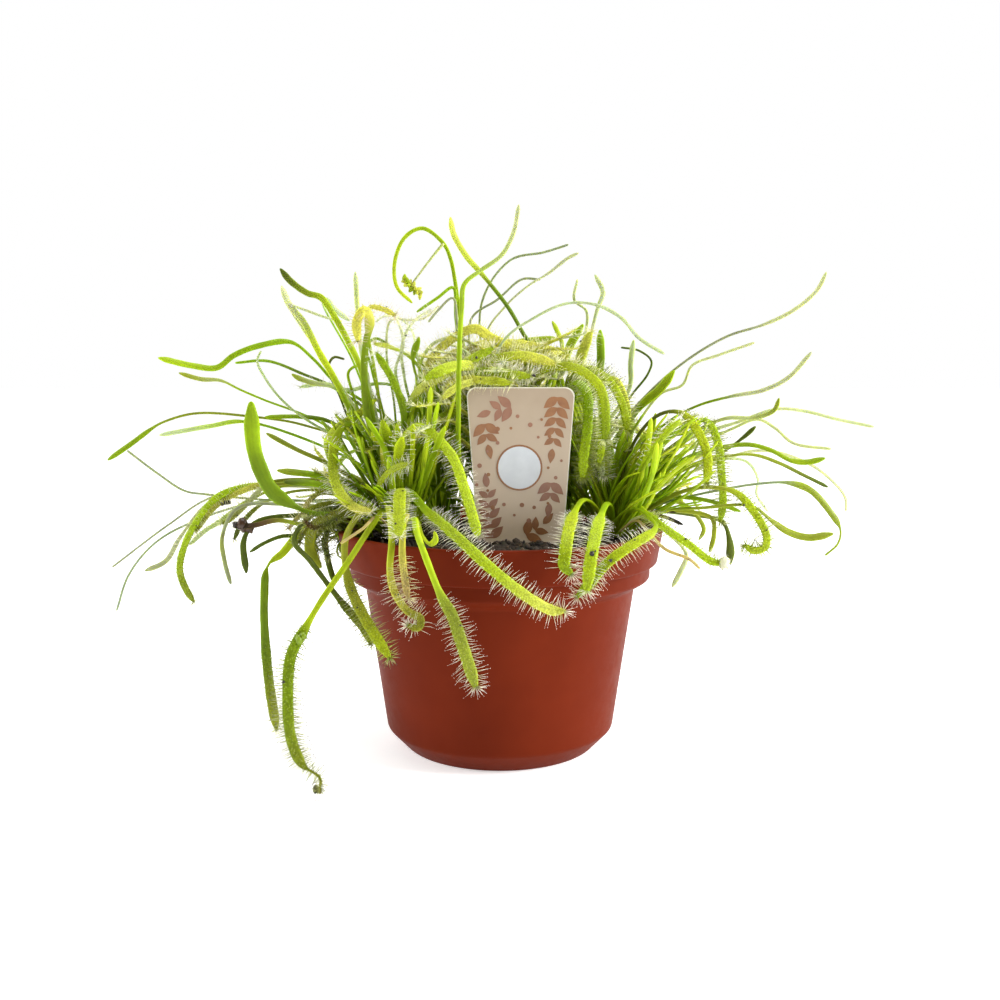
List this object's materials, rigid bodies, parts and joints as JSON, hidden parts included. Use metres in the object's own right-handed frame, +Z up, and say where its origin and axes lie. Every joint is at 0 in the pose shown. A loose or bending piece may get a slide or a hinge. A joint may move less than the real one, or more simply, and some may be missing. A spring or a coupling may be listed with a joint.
{
  "type": "potted sundew plant",
  "caption": "Carnivorous sundew with narrow, arching, tentacled strap leaves and a looped flower stalk, in peat in a round plastic nursery pot with a blank-text plant label.",
  "frame": {"origin": "centre of the pot's flat foot, on the surface that the pot stands on", "axes": "+Z up along the pot's axis; -Y towards the label's printed side, the front; +X to the right"},
  "size_m": [0.2194, 0.1275, 0.1482],
  "materials": {
    "pot_plastic": "satin",
    "peat": "matte",
    "label_card": "satin",
    "leaf_front": "satin",
    "leaf_back": "satin"
  },
  "bodies": {
    "root": {"pot": "pot_plastic", "soil": "peat", "plant_label": "label_card", "rosette_left_front": "leaf_front", "rosette_right_front": "leaf_front", "rosette_left_back": "leaf_back", "rosette_right_back": "leaf_back", "rosette_middle": "leaf_front"}
  },
  "joints": []
}
